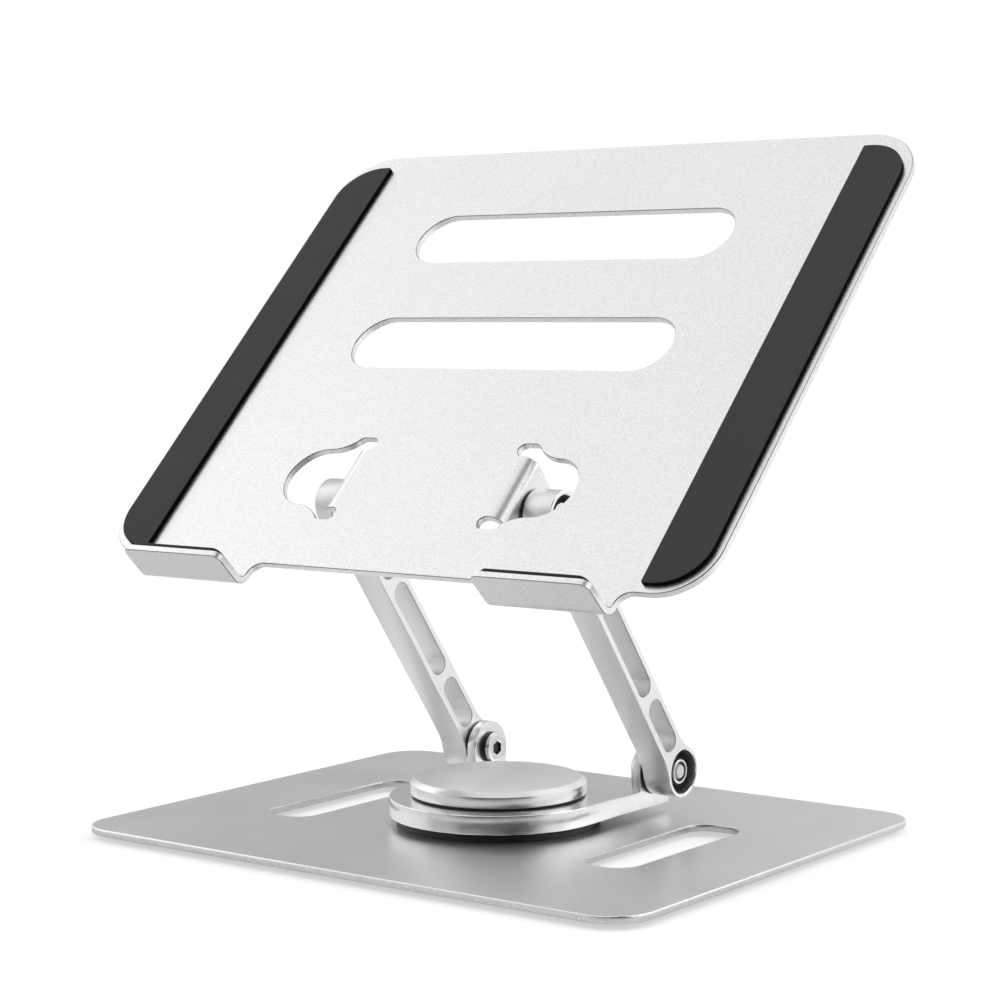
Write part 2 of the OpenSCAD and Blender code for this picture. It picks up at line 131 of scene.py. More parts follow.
def signed_area(outline):
    area = 0
    for (x0, y0), (x1, y1) in zip(outline, outline[1:] + outline[:1]):
        area += (x0 * y1 - x1 * y0) / 2
    return area


def inset(outline, distance):
    """The outline moved into the area that it encloses, by mitred corners."""
    turn = math.copysign(1, signed_area(outline))
    moved = []
    for i, point in enumerate(outline):
        p = Vector(point)
        d0 = (p - Vector(outline[i - 1])).normalized()
        d1 = (Vector(outline[(i + 1) % len(outline)]) - p).normalized()
        normal = Vector((-(d0 + d1).y, (d0 + d1).x)).normalized() * turn
        mitre = max(MITRE_LIMIT, abs(Vector((-d0.y, d0.x)).dot(normal)))
        moved.append(tuple(p + normal * distance / mitre))
    return moved


# ---------- solids ----------

def rounding(size, steps):
    """Edge profile from the flat face to the side wall, as (inset, drop) pairs."""
    quarter = [math.pi / 2 * i / steps for i in range(steps + 1)]
    return [(size * (1 - math.sin(a)), size * (1 - math.cos(a))) for a in quarter]


def chamfer(size):
    return [(size, 0), (0, size)]


def wall(outline, z0, z1, top, bottom=None, hole=False):
    """Rings of a plate's edge from the top face to the bottom face."""
    side = -1 if hole else 1
    rings = [(inset(outline, side * i), z1 - d) for i, d in top]
    rings += [(inset(outline, side * i), z0 + d) for i, d in reversed(bottom or top)]
    return [[(x, y, z) for x, y in ring] for ring, z in rings]


def round_hole(centre, profile):
    """Rings of a round hole from (radius, z) pairs, from the top face to the bottom face."""
    count = len(circle((0, 0), max(r for r, _ in profile)))
    angles = [2 * math.pi * i / count for i in range(count)]
    return [[(centre[0] + r * math.cos(a), centre[1] + r * math.sin(a), z) for a in angles]
            for r, z in profile]


def bridge(bm, a, b, material):
    for i in range(len(a)):
        j = (i + 1) % len(a)
        face = bm.faces.new((a[i], a[j], b[j], b[i]))
        face.material_index = material


def cap(bm, rings):
    """Flat face between an outer ring and the rings of its holes."""
    verts = [v for ring in rings for v in ring]
    edges = []
    for ring in rings:
        first = len(edges)
        edges += [(first + i, first + (i + 1) % len(ring)) for i in range(len(ring))]
    flat = [v.co.xy for v in verts]
    points, _, triangles, origins, _, _ = delaunay_2d_cdt(flat, edges, [], 0, SNAP)
    ends = np.array([[flat[a][:], flat[b][:]] for a, b in edges])
    x0, y0, x1, y1 = ends[:, 0, 0], ends[:, 0, 1], ends[:, 1, 0], ends[:, 1, 1]
    rise = np.where(y1 == y0, 1, y1 - y0)
    # A triangle is kept if a ray from its middle crosses the rings an odd number of times
    for triangle in triangles:
        x, y = sum((points[i] for i in triangle), Vector((0, 0))) / 3
        crossed = ((y0 > y) != (y1 > y)) & (x < x0 + (y - y0) * (x1 - x0) / rise)
        if np.count_nonzero(crossed) % 2:
            bm.faces.new([verts[origins[i][0]] for i in triangle])
    for a, b in edges:
        bm.edges.get((verts[a], verts[b])).smooth = False


def plate(walls, bevels=None):
    """Solid with two flat faces. Each wall is a stack of rings, the outer one first.
    bevels lists the material of each wall's bevels, EDGE by default."""
    bm = bmesh.new()
    stacks = [[[bm.verts.new(p) for p in ring] for ring in rings] for rings in walls]
    for rings, bevel in zip(stacks, bevels or [EDGE] * len(walls)):
        for i in range(len(rings) - 1):
            upright = rings[i][0].co.z - rings[i + 1][0].co.z > FLAT_WALL
            bridge(bm, rings[i], rings[i + 1], FACE if upright else bevel)
    cap(bm, [rings[0] for rings in stacks])
    cap(bm, [rings[-1] for rings in stacks])
    return bm


def hexagon(across_flats):
    """Radius of a hexagon as a function of the angle."""
    def radius(angle):
        within = math.remainder(angle, math.pi / 3)
        return across_flats / 2 / math.cos(within)
    return radius


def turned(profile, closed=False, count=96, bands=()):
    """Solid of rings around Z from (radius, z) pairs. A radius may be a function of the angle,
    and a height a function of the radius. A closed profile is a ring with a bore. bands lists
    the strips that take the edge material."""
    bm = bmesh.new()
    angles = [2 * math.pi * i / count for i in range(count)]
    rings = []
    for r, z in profile:
        if r == 0:
            rings.append([bm.verts.new((0, 0, z))])
            continue
        radii = [r(a) if callable(r) else r for a in angles]
        heights = [z(ra) if callable(z) else z for ra in radii]
        rings.append([bm.verts.new((ra * math.cos(a), ra * math.sin(a), h))
                      for ra, a, h in zip(radii, angles, heights)])
    pairs = list(zip(rings, rings[1:] + rings[:1])) if closed else list(zip(rings, rings[1:]))
    for index, (a, b) in enumerate(pairs):
        material = EDGE if index in bands else FACE
        if len(a) > 1 and len(b) > 1:
            bridge(bm, a, b, material)
            continue
        tip, rim = (a[0], b) if len(a) == 1 else (b[0], a)
        for i in range(count):
            face = bm.faces.new((tip, rim[i], rim[(i + 1) % count]))
            face.material_index = material
    return bm


def merge(bm, other):
    mesh = bpy.data.meshes.new("part")
    other.to_mesh(mesh)
    bm.from_mesh(mesh)
    bpy.data.meshes.remove(mesh)
    return bm


def placed(bm, matrix):
    bmesh.ops.transform(bm, matrix=matrix, verts=bm.verts)
    return bm


def both_sides(bm):
    """Adds the mirror image on the left of a part that is drawn on the right."""
    other = bm.copy()
    placed(other, MIRROR)
    return merge(bm, other)


def piece(name, bm, materials, body, nodes):
    """Turns a drawing in millimetres into an object that rides on its body."""
    bmesh.ops.recalc_face_normals(bm, faces=bm.faces)
    for edge in bm.edges:
        if len(edge.link_faces) == 2 and edge.calc_face_angle(0) > SHARP_ANGLE:
            edge.smooth = False
    for face in bm.faces:
        face.smooth = True
    placed(bm, Matrix.Scale(MM, 4))
    mesh = bpy.data.meshes.new(name)
    bm.to_mesh(mesh)
    bm.free()
    for material in materials:
        mesh.materials.append(material)
    obj = bpy.data.objects.new(name, mesh)
    bpy.context.scene.collection.objects.link(obj)
    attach(obj, body)
    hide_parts(*nodes)
    return obj


# ---------- materials ----------

def shader(name, **values):
    """New material. values are settings of its Principled shader."""
    material = bpy.data.materials.new(name)
    material.use_nodes = True
    nodes = material.node_tree.nodes
    bsdf = nodes["Principled BSDF"]
    for key, value in values.items():
        bsdf.inputs[key.replace("_", " ")].default_value = value
    return material, nodes, material.node_tree.links, bsdf


def noise(nodes, links, scale, detail=2, roughness=0.5):
    """Noise over the object's own coordinates, with scale in waves per metre."""
    where = nodes.new("ShaderNodeTexCoord")
    texture = nodes.new("ShaderNodeTexNoise")
    texture.inputs["Scale"].default_value = scale
    texture.inputs["Detail"].default_value = detail
    texture.inputs["Roughness"].default_value = roughness
    links.new(where.outputs["Object"], texture.inputs["Vector"])
    return texture.outputs["Fac"]


def spread(nodes, links, value, low, high, start=0.3, end=0.7):
    """Maps a noise value to the range from low to high."""
    node = nodes.new("ShaderNodeMapRange")
    node.inputs["From Min"].default_value = start
    node.inputs["From Max"].default_value = end
    node.inputs["To Min"].default_value = low
    node.inputs["To Max"].default_value = high
    links.new(value, node.inputs["Value"])
    return node.outputs["Result"]


def tint(nodes, links, value, colour):
    """Colour multiplied by a value."""
    node = nodes.new("ShaderNodeVectorMath")
    node.operation = "SCALE"
    node.inputs[0].default_value = colour
    links.new(value, node.inputs["Scale"])
    return node.outputs["Vector"]


def times(nodes, links, a, b):
    node = nodes.new("ShaderNodeMath")
    node.operation = "MULTIPLY"
    links.new(a, node.inputs[0])
    links.new(b, node.inputs[1])
    return node.outputs[0]


def bump(nodes, links, bsdf, height, strength, distance):
    """Fine relief from a noise value. distance is in metres."""
    node = nodes.new("ShaderNodeBump")
    node.inputs["Strength"].default_value = strength
    node.inputs["Distance"].default_value = distance
    links.new(height, node.inputs["Height"])
    links.new(node.outputs["Normal"], bsdf.inputs["Normal"])


# Anodised aluminium is a trace cooler than neutral grey
ALUMINIUM_TINT = (1, 0.991, 1.003)
STEEL_TINT = (1, 1, 1.01)


def grey(level, tint_of_metal=(1, 1, 1)):
    return tuple(level * part for part in tint_of_metal)


def blasted_aluminium(name, level, roughness, grain):
    """Bead-blasted and anodised: fine sparkling grain over very faint broad clouds."""
    material, nodes, links, bsdf = shader(name, Metallic=1.0)
    fine = noise(nodes, links, 1500, roughness=0.7)
    broad = noise(nodes, links, 26, detail=3)
    speckle = spread(nodes, links, fine, 1 - grain, 1 + grain)
    clouds = spread(nodes, links, broad, 0.985, 1.01)
    varied = times(nodes, links, speckle, clouds)
    colour = tint(nodes, links, varied, grey(level, ALUMINIUM_TINT))
    links.new(colour, bsdf.inputs["Base Color"])
    uneven = spread(nodes, links, broad, roughness - 0.02, roughness + 0.02)
    links.new(uneven, bsdf.inputs["Roughness"])
    bump(nodes, links, bsdf, noise(nodes, links, 3400), strength=0.35, distance=0.00002)
    return material


def cut_edge(name, level):
    """Narrow bevels with faint tool marks. At a low level they are dark bevels of painted shade."""
    material, nodes, links, bsdf = shader(name, Metallic=1.0)
    marks = noise(nodes, links, 900)
    colour = tint(nodes, links, spread(nodes, links, marks, 0.96, 1.0), grey(level))
    links.new(colour, bsdf.inputs["Base Color"])
    links.new(spread(nodes, links, marks, 0.16, 0.24), bsdf.inputs["Roughness"])
    return material


def plated_steel(name, level, roughness):
    """Plated steel with fine turning marks and slight wear."""
    material, nodes, links, bsdf = shader(name, Metallic=1.0)
    wear = noise(nodes, links, 420, detail=4)
    marks = noise(nodes, links, 2600)
    colour = tint(nodes, links, spread(nodes, links, wear, 0.93, 1.03), grey(level, STEEL_TINT))
    links.new(colour, bsdf.inputs["Base Color"])
    uneven = spread(nodes, links, wear, roughness - 0.04, roughness + 0.07)
    links.new(uneven, bsdf.inputs["Roughness"])
    bump(nodes, links, bsdf, marks, strength=0.25, distance=0.00001)
    return material


def plain_plastic(name, colour, roughness, gloss=0.4):
    """Moulded plastic with a fine eroded surface."""
    material, nodes, links, bsdf = shader(name, Specular_IOR_Level=gloss)
    fine = noise(nodes, links, 1500, detail=3)
    varied = tint(nodes, links, spread(nodes, links, fine, 0.85, 1.15), colour)
    links.new(varied, bsdf.inputs["Base Color"])
    uneven = spread(nodes, links, fine, roughness - 0.05, roughness + 0.05)
    links.new(uneven, bsdf.inputs["Roughness"])
    bump(nodes, links, bsdf, fine, strength=0.2, distance=0.00003)
    return material


def silicone(name, colour, roughness):
    """Matt silicone: soft sheen, very fine moulded texture and faint dust."""
    material, nodes, links, bsdf = shader(
        name, Specular_IOR_Level=0.25, Sheen_Weight=0.08, Sheen_Roughness=0.5)
    fine = noise(nodes, links, 2600, roughness=0.6)
    broad = noise(nodes, links, 40, detail=3)
    grain = spread(nodes, links, fine, 0.9, 1.1)
    dust = spread(nodes, links, broad, 0.97, 1.03)
    varied = tint(nodes, links, times(nodes, links, grain, dust), colour)
    links.new(varied, bsdf.inputs["Base Color"])
    uneven = spread(nodes, links, broad, roughness - 0.04, roughness + 0.04)
    links.new(uneven, bsdf.inputs["Roughness"])
    bump(nodes, links, bsdf, fine, strength=0.3, distance=0.00003)
    return material


SHEET = blasted_aluminium("blasted_sheet", 0.865, 0.33, 0.13)
SOLID = blasted_aluminium("blasted_solid", 0.89, 0.40, 0.05)
BLOCK = blasted_aluminium("milled_block", 0.88, 0.27, 0.03)
BRIGHT = cut_edge("bright_cut_edge", 0.94)
# Dark bevels: painted shade for the thin dark lines along the tray's edges and the arms' slots
SHADE_EDGE = cut_edge("painted_shade_edge", 0.33)
SATIN = plated_steel("satin_turned_side", 0.86, 0.17)
# Near-black steel: painted shade inside the bolts' sockets and on the nuts' hex bodies in the arms' recesses
SHADE_STEEL = plated_steel("painted_shade_steel", 0.05, 0.35)
STEEL = plated_steel("plated_steel", 0.78, 0.20)
TURNED = plated_steel("turned_steel", 0.62, 0.32)
BLACK = plain_plastic("black_plastic", (0.012, 0.012, 0.013), 0.45)
NYLON = plain_plastic("black_nylon", (0.010, 0.010, 0.012), 0.38)
NATURAL = plain_plastic("natural_nylon", (0.75, 0.73, 0.68), 0.45)
PAD_TOP = silicone("pad_silicone_top", (0.051, 0.052, 0.054), 0.74)
# The pads' walls: the same silicone as the top, painted near black as shade
PAD_WALL_SHADE = plain_plastic("pad_wall_painted_shade", (0.003, 0.003, 0.003), 0.8, 0.05)
STRIP = silicone("strip_rubber", (0.010, 0.010, 0.010), 0.60)
FOOT = silicone("foot_silicone", (0.045, 0.045, 0.047), 0.65)

# Each set: face, bright cut bevel, satin side, and dark bevel of painted shade
SHEET_METAL = (SHEET, BRIGHT, SATIN, SHADE_EDGE)
SOLID_METAL = (SOLID, BRIGHT, SATIN, SHADE_EDGE)
BLOCK_METAL = (BLOCK, BRIGHT, SATIN, SHADE_EDGE)


# ---------- base and swivel ----------

BASE_R = 16
BASE_EDGE_R = 0.5
BASE_SLOT_X = 74
BASE_SLOT_W = 21.5
BASE_SLOT_L = 80.5
BASE_SLOT_R = 9
BASE_SLOT_EDGE_R = 0.3
SCREW_CIRCLE = 7
SCREW_HOLE_R = 2.2
SINK_R = 4.1
SINK_DEPTH = 1.9
# Width and height of the broken edge around a screw's sink
SINK_BREAK_W = 0.1
SINK_BREAK_H = 0.05
SCREW_ANGLES = [math.radians(90 + 120 * i) for i in range(3)]
SCREW_POINTS = [(SCREW_CIRCLE * math.cos(a), SCREW_CIRCLE * math.sin(a)) for a in SCREW_ANGLES]


def make_base_plate():
    low, high = box_mm("base_plate")
    outline = round_rect(low.x, low.y, high.x, high.y, BASE_R)
    walls = [wall(outline, low.z, high.z, rounding(BASE_EDGE_R, 3))]
    slot = round_rect(BASE_SLOT_X - BASE_SLOT_W / 2, -BASE_SLOT_L / 2,
                      BASE_SLOT_X + BASE_SLOT_W / 2, BASE_SLOT_L / 2, BASE_SLOT_R)
    for outline in (slot, mirrored(slot)):
        walls.append(wall(outline, low.z, high.z, rounding(BASE_SLOT_EDGE_R, 2), hole=True))
    screw_hole = [(SCREW_HOLE_R, high.z), (SCREW_HOLE_R, low.z + SINK_DEPTH),
                  (SINK_R, low.z + SINK_BREAK_H), (SINK_R + SINK_BREAK_W, low.z)]
    for point in SCREW_POINTS:
        walls.append(round_hole(point, screw_hole))
    piece("base_sheet", plate(walls), SHEET_METAL, "base", ["base_plate"])


FOOT_R = 9
FOOT_EDGE_R = 0.6
FOOT_TREAD_R = 7.4


def make_feet():
    low, high = box_mm("base_feet")
    r = FOOT_R
    bm = bmesh.new()
    soft = [(r - i, low.z + d) for i, d in rounding(FOOT_EDGE_R, 4)]
    profile = [(0, low.z), (FOOT_TREAD_R, low.z)] + soft + [(r, high.z), (0, high.z)]
    for x in (low.x + r, high.x - r):
        for y in (low.y + r, high.y - r):
            merge(bm, placed(turned(profile), Matrix.Translation((x, y, 0))))
    piece("silicone_feet", bm, (FOOT, FOOT), "base", ["base_feet"])


def ring_profile(r, bore, z0, z1, edge):
    """Closed profile of a washer whose outer edges are slightly rounded."""
    rim = rounding(edge, 2)
    return ([(bore, z0)] + [(r - i, z0 + d) for i, d in rim]
            + [(r - i, z1 - d) for i, d in reversed(rim)] + [(bore, z1)])


THRUST_PLAY = 0.3
THRUST_EDGE_R = 0.2


def make_thrust_washers():
    bore = box_mm("swivel_spindle")[1].x + THRUST_PLAY
    for node, name in (("lower_thrust_washer", "thrust_ring_below"),
                       ("upper_thrust_washer", "thrust_ring_above")):
        low, high = box_mm(node)
        profile = ring_profile(high.x, bore, low.z, high.z, THRUST_EDGE_R)
        bm = turned(profile, closed=True, count=160)
        piece(name, bm, (BLACK, BLACK), "base", [node])


CAP_CHAMFER_W = 2.2
CAP_CHAMFER_H = 1.7
CAP_FOOT_CHAMFER = 0.35
# How far the two edges of the top chamfer are eased
CAP_EASE = 0.18


def make_cap():
    low, high = box_mm("swivel_cap")
    r = high.x
    rim = r - CAP_CHAMFER_W
    shoulder = high.z - CAP_CHAMFER_H
    # From the bottom face up the side, and over the eased chamfer to the top face
    profile = [
        (0, low.z), (r - CAP_FOOT_CHAMFER, low.z), (r, low.z + CAP_FOOT_CHAMFER),
        (r, shoulder - CAP_EASE), (r - 0.05, shoulder + 0.02),
        (rim + 0.1, high.z - 0.1), (rim - CAP_EASE, high.z), (0, high.z),
    ]
    bm = turned(profile, count=192, bands=(1, 3, 4, 5))
    satin_sides(bm)
    piece("cap_disc", bm, SOLID_METAL, "base", ["swivel_cap"])


BRACKET_CORNER_R = 1.2
LUG_R = 10.3
LUG_T = 4.1
# How deep a lug's foot goes into the bracket's floor
LUG_ROOT = 3
HINGE_HOLE_R = 3.05
HOLE_CHAMFER = 0.3
SOFT_EDGE_R = 0.4


def make_bracket():
    low, high = box_mm("swivel_bracket")
    top = box_mm("upper_thrust_washer")[0].z
    r = high.x
    corner_r = BRACKET_CORNER_R
    bore = box_mm("swivel_bush")[1].x
    floor = arc((0, 0), r, math.pi, 2 * math.pi)
    floor += arc((r - corner_r, high.y - corner_r), corner_r, 0, math.pi / 2)
    floor += arc((-r + corner_r, high.y - corner_r), corner_r, math.pi / 2, math.pi)
    hole = [(bore, top), (bore, low.z)]
    edge = rounding(SOFT_EDGE_R, 3)
    floor_bm = plate([wall(floor, low.z, top, edge), round_hole((0, 0), hole)])
    root = top - LOWER_HINGE.z - LUG_ROOT
    lug = arc((0, 0), LUG_R, 0, math.pi) + [(-LUG_R, root), (LUG_R, root)]
    wide = HINGE_HOLE_R + HOLE_CHAMFER
    pin = [(wide, LUG_T), (HINGE_HOLE_R, LUG_T - HOLE_CHAMFER),
           (HINGE_HOLE_R, HOLE_CHAMFER), (wide, 0)]
    lug_bm = plate([wall(lug, 0, LUG_T, edge), round_hole((0, 0), pin)])
    upright = Matrix(((0, 0, 1, r - LUG_T), (1, 0, 0, LOWER_HINGE.y),
                      (0, 1, 0, LOWER_HINGE.z), (0, 0, 0, 1)))
    lugs_bm = both_sides(placed(lug_bm, upright))
    satin_sides(floor_bm)
    bm = united(floor_bm, lugs_bm)
    piece("bracket_block", bm, BLOCK_METAL, "swivel", ["swivel_bracket"])


def satin_sides(bm):
    """Upright walls take the smoother finish of a turned or milled side."""
    bmesh.ops.recalc_face_normals(bm, faces=bm.faces)
    for face in bm.faces:
        if face.material_index == FACE and abs(face.normal.z) < UPRIGHT:
            face.material_index = SIDE


def united(a, b):
    """Union of two closed drawings."""
    objects = []
    for bm in (a, b):
        bmesh.ops.recalc_face_normals(bm, faces=bm.faces)
        mesh = bpy.data.meshes.new("operand")
        bm.to_mesh(mesh)
        bm.free()
        for material in BLOCK_METAL:
            mesh.materials.append(material)
        obj = bpy.data.objects.new("operand", mesh)
        bpy.context.scene.collection.objects.link(obj)
        objects.append(obj)
    modifier = objects[0].modifiers.new("union", "BOOLEAN")
    modifier.operation = "UNION"
    modifier.solver = "EXACT"
    modifier.object = objects[1]
    bpy.context.view_layer.update()
    result = objects[0].evaluated_get(bpy.context.evaluated_depsgraph_get()).to_mesh()
    bm = bmesh.new()
    bm.from_mesh(result)
    for obj in objects:
        bpy.data.objects.remove(obj)
    bmesh.ops.remove_doubles(bm, verts=bm.verts, dist=WELD)
    return bm


# ---------- hinge hardware, drawn along Z and laid along +X ----------

ALONG_X = Matrix(((0, 0, 1, 0), (1, 0, 0, 0), (0, 1, 0, 0), (0, 0, 0, 1)))


def on_hinges(bm, hinge):
    """Lays a part drawn around Z along the X axis of a hinge, on both sides."""
    return both_sides(placed(bm, Matrix.Translation((0, hinge.y, hinge.z)) @ ALONG_X))


def hinge_stack(end, name):
    """Place of a hinge's piece along X, from its CAD node's right-hand solid."""
    node = f"{end}_{name}"
    obj = frame["nodes"][node]
    xs = [v.co.x / MM for v in obj.data.vertices if v.co.x > 0]
    return node, min(xs), max(xs)


SHANK_R = 3
HEAD_R = 6.1
HEAD_T = 1.6
# Rounded rim of the head, as (inset, drop) pairs from its face to its side
HEAD_RIM = ((0.75, 0), (0.32, 0.10), (0.08, 0.36), (0, 0.7))
HEAD_CHAMFER = 0.15
SOCKET_AF = 5
SOCKET_DEPTH = 1.1
# The socket's floor is a shallow cone of this radius that starts at this depth
SOCKET_CONE_R = 1.4
SOCKET_CONE_DEPTH = 1.0
# Depths between which the socket's six flats run
SOCKET_FLATS = (0.95, 0.12)
SOCKET_RIM_R = 3.05
THREAD_L = 4.5
THREAD_PITCH = 1.0
THREAD_DEPTH = 0.3
THREAD_TURNS = 4
THREAD_RUN_IN = 0.1
# Shares of the pitch between which a crest of the thread lies
THREAD_CREST = (0.45, 0.55)
# Chamfered tip, as (inset, distance from the end) pairs
TIP_RIM = ((THREAD_DEPTH, 0.5), (0.48, 0.42), (0.58, 0))


def make_hinge_bolts(end, hinge, body):
    node, x0, x1 = hinge_stack(end, "hinge_bolts")
    socket = hexagon(SOCKET_AF)
    under = x0 + HEAD_T
    thread_start = x1 - THREAD_L
    thread = []
    for i in range(THREAD_TURNS):
        x = thread_start + i * THREAD_PITCH
        thread.append((SHANK_R - THREAD_DEPTH, x))
        thread += [(SHANK_R, x + THREAD_PITCH * share) for share in THREAD_CREST]
    recess = [(0, x0 + SOCKET_DEPTH), (SOCKET_CONE_R, x0 + SOCKET_CONE_DEPTH)]
    recess += [(socket, x0 + depth) for depth in SOCKET_FLATS] + [(SOCKET_RIM_R, x0)]
    head = [(HEAD_R - i, x0 + d) for i, d in HEAD_RIM]
    head += [(HEAD_R, under - HEAD_CHAMFER), (HEAD_R - HEAD_CHAMFER, under)]
    shank = [(SHANK_R, under), (SHANK_R, thread_start - THREAD_RUN_IN)]
    tip = [(SHANK_R - i, x1 - d) for i, d in TIP_RIM] + [(0, x1)]
    profile = recess + head + shank + thread + tip
    # The socket's floor and flats take painted shade
    bm = on_hinges(turned(profile, bands=(0, 1, 2)), hinge)
    piece(f"{end}_bolt_pair", bm, (STEEL, SHADE_STEEL), body, [node])


HINGE_WASHER_PLAY = 0.15
HINGE_WASHER_EDGE_R = 0.15


def make_hinge_washers(end, hinge, body, name, piece_name):
    node, x0, x1 = hinge_stack(end, name)
    low, high = box_mm(node)
    r = (high.z - low.z) / 2
    profile = ring_profile(r, HINGE_HOLE_R + HINGE_WASHER_PLAY, x0, x1, HINGE_WASHER_EDGE_R)
    bm = on_hinges(turned(profile, closed=True), hinge)
    piece(f"{end}_{piece_name}", bm, (BLACK, BLACK), body, [node])


NUT_AF = 10
# The hexagon's corners are cut by a cone that starts this far inside the flats
CONE_INSET = 0.1
CONE_ANGLE = math.radians(30)
COLLAR_R = 4.75
COLLAR_H = 1.6
# Rounded rim of the collar, as (inset, drop) pairs from its side to its face
COLLAR_RIM = ((0, 0.50), (0.07, 0.27), (0.22, 0.09), (0.44, 0))
INSERT_R = 3.8
# Rounded mouth around the insert, as (outset, drop) pairs from the collar's face inwards
MOUTH_RIM = ((0.18, 0), (0.05, 0.07), (0, 0.25))
INSERT_SUNK = 0.4
INSERT_BEVEL = 0.1
INSERT_BEVEL_W = 0.15


def make_lock_nuts(end, hinge, body):
    node, x0, x1 = hinge_stack(end, "lock_nuts")
    x_hex = x1 - COLLAR_H
    flats = hexagon(NUT_AF)
    cone_r = NUT_AF / 2 - CONE_INSET
    slope = math.tan(CONE_ANGLE)
    profile = [
        (SHANK_R, x0), (cone_r, x0), (flats, lambda r: x0 + (r - cone_r) * slope),
        (flats, lambda r: x_hex - (r - cone_r) * slope), (cone_r, x_hex), (COLLAR_R, x_hex),
    ]
    profile += [(COLLAR_R - i, x1 - d) for i, d in COLLAR_RIM]
    profile += [(INSERT_R + o, x1 - d) for o, d in MOUTH_RIM]
    profile += [(INSERT_R, x_hex), (SHANK_R, x_hex)]
    # The nut's back, hex body and the collar's underside take painted shade, the shadow of the recess
    bm = on_hinges(turned(profile, closed=True, bands=(0, 1, 2, 3, 4)), hinge)
    piece(f"{end}_nut_pair", bm, (STEEL, SHADE_STEEL), body, [node])
    node, x0, x1 = hinge_stack(end, "nut_inserts")
    top = x1 - INSERT_SUNK
    rim = top - INSERT_BEVEL
    profile = [(SHANK_R, x0), (INSERT_R, x0), (INSERT_R, rim), (INSERT_R - INSERT_BEVEL_W, top),
               (SHANK_R + INSERT_BEVEL, top), (SHANK_R, rim)]
    bm = on_hinges(turned(profile, closed=True), hinge)
    piece(f"{end}_nylon_rings", bm, (NYLON, NYLON), body, [node])


# ---------- arms ----------

ARM_HEIGHT = 13.2
# Radius of the boss and of its nut recess, at the lower and at the upper end
ARM_BOSSES = ((9.7, 8.3), (9.2, 7.5))
BOSS_FILLET = 22
# Lengths of the slots from the lower end up
ARM_SLOTS = (24, 45.5, 24)
ARM_SLOT_W = 8.2
ARM_SLOT_EDGE = 0.2
ARM_BRIDGE = 4.5
RECESS_DEPTH = 8.4
RECESS_CHAMFER = 0.3


def arm_outline(length):
    """Bar with a round boss at each end, drawn from the lower hinge along +X."""
    def end(r):
        edge = ARM_HEIGHT / 2 + BOSS_FILLET
        foot = math.sqrt((r + BOSS_FILLET) ** 2 - edge ** 2)
        return edge, foot, math.atan2(edge, foot)
    edge0, foot0, turn0 = end(ARM_BOSSES[0][0])
    edge1, foot1, turn1 = end(ARM_BOSSES[1][0])
    up = math.pi / 2
    outline = arc((0, 0), ARM_BOSSES[0][0], turn0, 2 * math.pi - turn0)[:-1]
    outline += arc((foot0, -edge0), BOSS_FILLET, math.pi - turn0, up)
    outline += arc((length - foot1, -edge1), BOSS_FILLET, up, turn1)[:-1]
    outline += arc((length, 0), ARM_BOSSES[1][0], turn1 - math.pi, math.pi - turn1)[:-1]
    outline += arc((length - foot1, edge1), BOSS_FILLET, -turn1, -up)
    outline += arc((foot0, edge0), BOSS_FILLET, -up, turn0 - math.pi)[:-1]
    return outline


def make_arms():
    low, high = box_mm("right_arm")
    thick = high.x - low.x
    reach = UPPER_HINGE - LOWER_HINGE
    length = reach.length
    walls = [wall(arm_outline(length), 0, thick, rounding(SOFT_EDGE_R, 3))]
    s = (length - sum(ARM_SLOTS) - 2 * ARM_BRIDGE) / 2
    half = ARM_SLOT_W / 2
    for slot_l in ARM_SLOTS:
        slot = round_rect(s, -half, s + slot_l, half, half - SLOT_STRAIGHT)
        walls.append(wall(slot, 0, thick, chamfer(ARM_SLOT_EDGE), hole=True))
        s += slot_l + ARM_BRIDGE
    floor = thick - RECESS_DEPTH
    c = RECESS_CHAMFER
    for x, (_, recess_r) in zip((0, length), ARM_BOSSES):
        profile = [
            (recess_r + c, thick), (recess_r, thick - c), (recess_r, floor + c),
            (recess_r - c, floor), (HINGE_HOLE_R, floor), (HINGE_HOLE_R, HOLE_CHAMFER),
            (HINGE_HOLE_R + HOLE_CHAMFER, 0),
        ]
        walls.append(round_hole((x, 0), profile))
    # The slots' bevels take dark lines of painted shade
    bm = plate(walls, [EDGE] + [SHADE_LINE] * len(ARM_SLOTS) + [EDGE] * 2)
    along = reach.normalized()
    back = Vector((0, along.z, -along.y))
    place = Matrix.Translation((low.x, LOWER_HINGE.y, LOWER_HINGE.z)) @ Matrix((
        (0, 0, 1, 0), (along.y, back.y, 0, 0), (along.z, back.z, 0, 0), (0, 0, 0, 1)))
    right = placed(bm, place)
    left = placed(right.copy(), MIRROR)
    piece("arm_right", right, SOLID_METAL, "arms", ["right_arm"])
    piece("arm_left", left, SOLID_METAL, "arms", ["left_arm"])


# ---------- tray ----------

SHEET_T = 2.6
TRAY_H = 218.3
TRAY_TOP_R = 24
TRAY_BOTTOM_R = 20
TRAY_EDGE = 0.25
# Length, width and distance from the bottom edge
TRAY_SLOTS = ((147, 26.3, 111), (147, 26.3, 168))
# Place of the ears: distance from the bottom edge, and depth of the hinge behind the sheet
EAR_W = 42
EAR_DEPTH = 15
EAR_R = 12.7
EAR_ROOT = 14.2
EAR_BEND_R = 2.9
NOTCH_R = 2.8
# How far a notch reaches past the bend line, towards the middle and outwards
NOTCH_IN = 0.2
NOTCH_OUT = 3.5
LOBE_X, LOBE_R = 52.3, 13.4
NOTCH_BLEND_R = 16
LIP_X, LIP_W, LIP_H = 80.8, 48, 16.3
LIP_TAB = 5.3
LIP_BEND_R = 3
LIP_CORNER_R = 3.5
BEND_STEPS = 12

